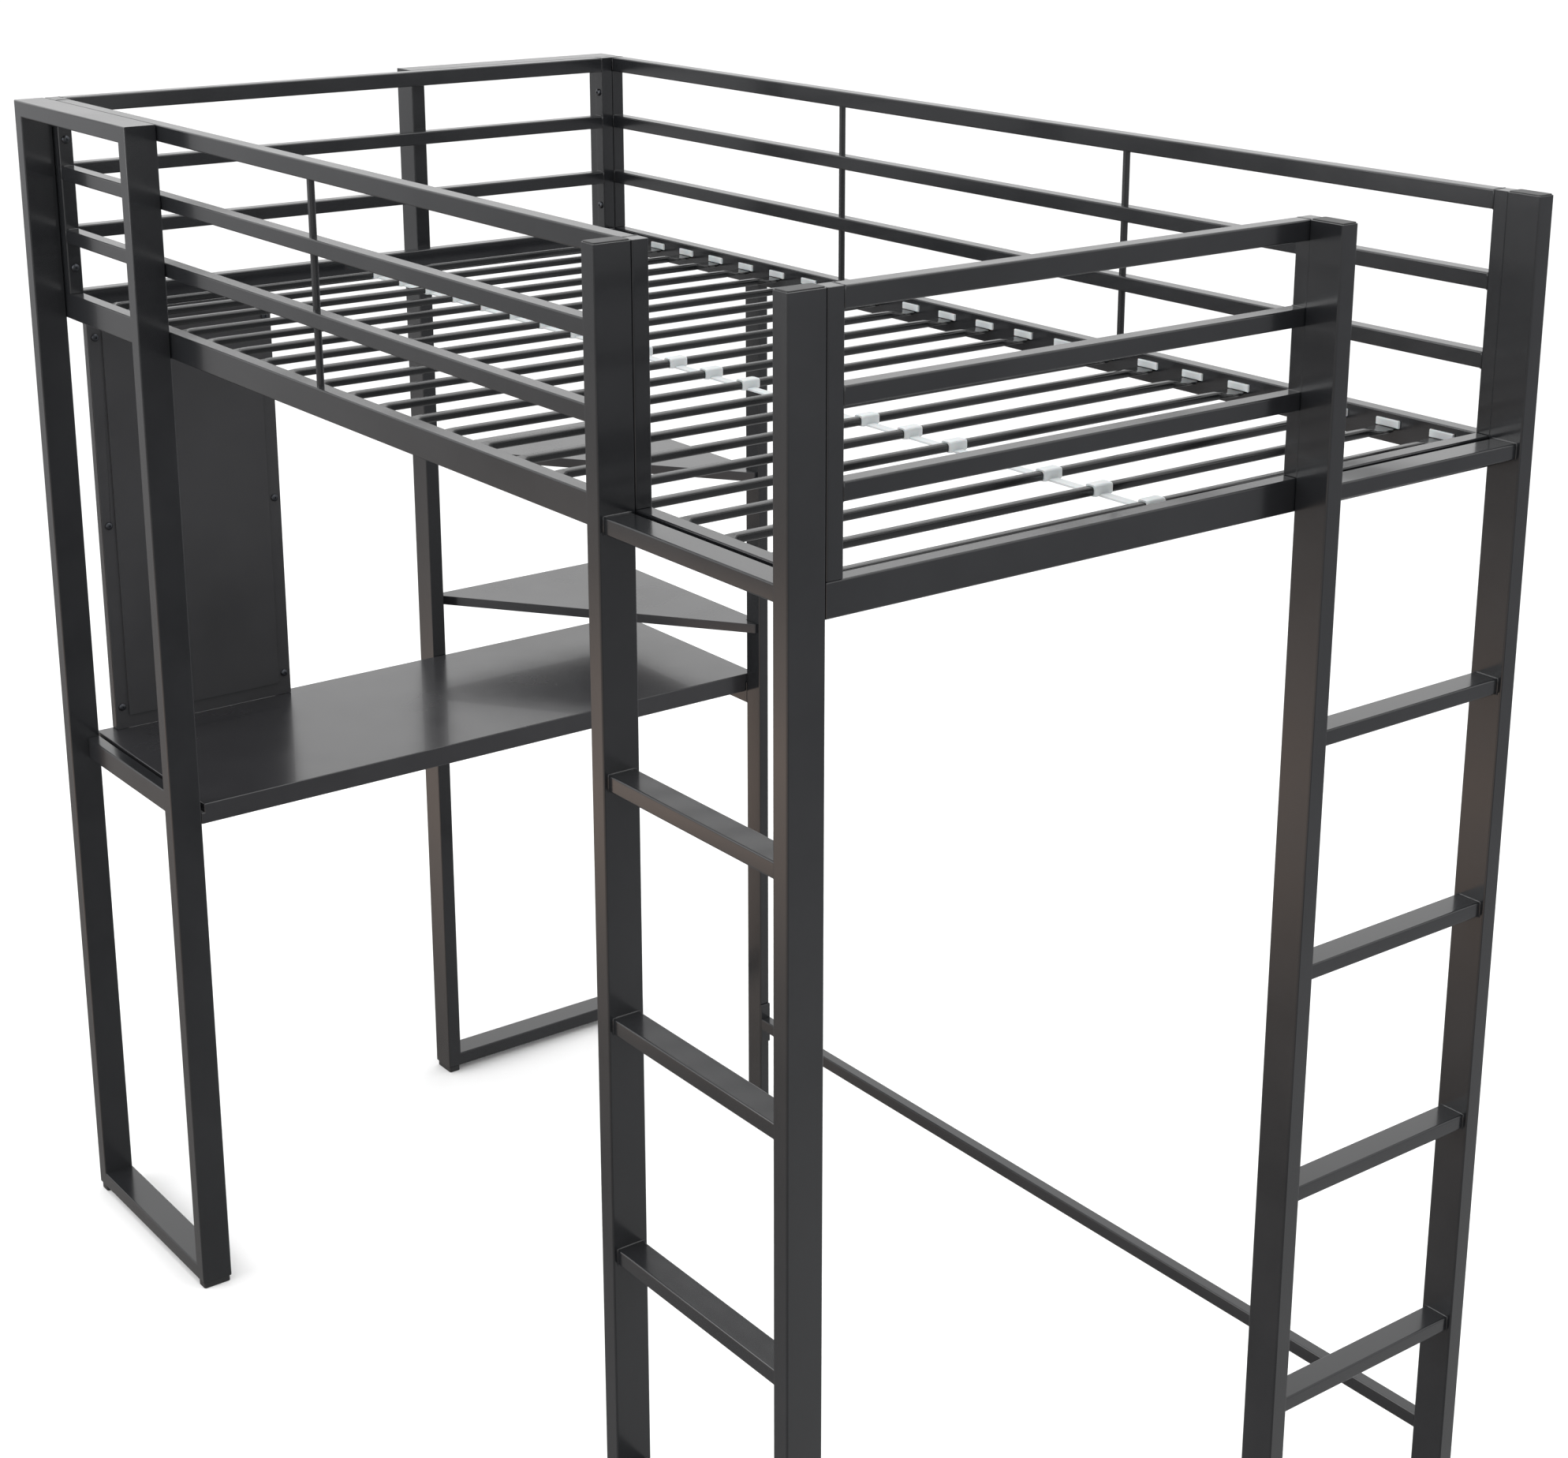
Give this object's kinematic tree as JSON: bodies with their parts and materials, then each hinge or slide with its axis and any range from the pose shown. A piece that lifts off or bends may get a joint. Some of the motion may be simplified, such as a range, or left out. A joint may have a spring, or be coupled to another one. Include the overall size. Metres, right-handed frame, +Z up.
{
  "type": "loft bed with desk",
  "caption": "Tall steel loft bed for a twin mattress with guard rails, two ladders, a narrow desk with a back board and two corner shelves at one end.",
  "frame": {"origin": "centre of the bounding box on the floor", "axes": "+X along the mattress towards the end with the ladder, +Y across the bed towards the back, +Z up"},
  "size_m": [2.0476, 1.0908, 1.842],
  "materials": {
    "black_paint": "gloss",
    "black_sheet": "gloss",
    "board_paint": "satin",
    "slat_paint": "satin",
    "white_plastic": "satin",
    "black_plastic": "matte",
    "bolt_black": "satin"
  },
  "bodies": {
    "root": {"front_guard_panel": "black_paint", "back_guard_panel": "black_paint", "desk_end_panel": "black_paint", "ladder_end_panel": "black_paint", "front_desk_frame": "black_paint", "corner_desk_frame": "black_paint", "front_ladder": "black_paint", "end_ladder": "black_paint", "desk_leg": "black_paint", "desk_rail_front": "black_paint", "desk_rail_back": "black_paint", "long_stretcher": "black_paint", "desk_top": "black_sheet", "lower_corner_shelf": "black_sheet", "upper_corner_shelf": "black_sheet", "desk_back_board": "board_paint", "board_bar_front": "black_paint", "board_bar_back": "black_paint", "slat_01": "slat_paint", "slat_02": "slat_paint", "slat_03": "slat_paint", "slat_04": "slat_paint", "slat_05": "slat_paint", "slat_06": "slat_paint", "slat_07": "slat_paint", "slat_08": "slat_paint", "slat_09": "slat_paint", "slat_10": "slat_paint", "slat_11": "slat_paint", "slat_12": "slat_paint", "slat_13": "slat_paint", "slat_14": "slat_paint", "slat_15": "slat_paint", "slat_16": "slat_paint", "slat_17": "slat_paint", "slat_18": "slat_paint", "slat_19": "slat_paint", "slat_20": "slat_paint", "slat_21": "slat_paint", "slat_22": "slat_paint", "slat_centre_strap": "white_plastic", "foot_front_desk_outer": "black_plastic", "foot_front_desk_inner": "black_plastic", "foot_front_ladder_inner": "black_plastic", "foot_front_ladder_outer": "black_plastic", "foot_corner_frame_inner": "black_plastic", "foot_corner_frame_outer": "black_plastic", "foot_end_ladder_inner": "black_plastic", "foot_end_ladder_outer": "black_plastic", "foot_desk_leg": "black_plastic", "corner_bolt_front_1": "bolt_black", "corner_bolt_back_1": "bolt_black", "corner_bolt_front_2": "bolt_black", "corner_bolt_back_2": "bolt_black", "board_bolt_front_1": "bolt_black", "board_bolt_back_1": "bolt_black", "board_bolt_front_2": "bolt_black", "board_bolt_back_2": "bolt_black", "board_bolt_front_3": "bolt_black", "board_bolt_back_3": "bolt_black"}
  },
  "joints": []
}
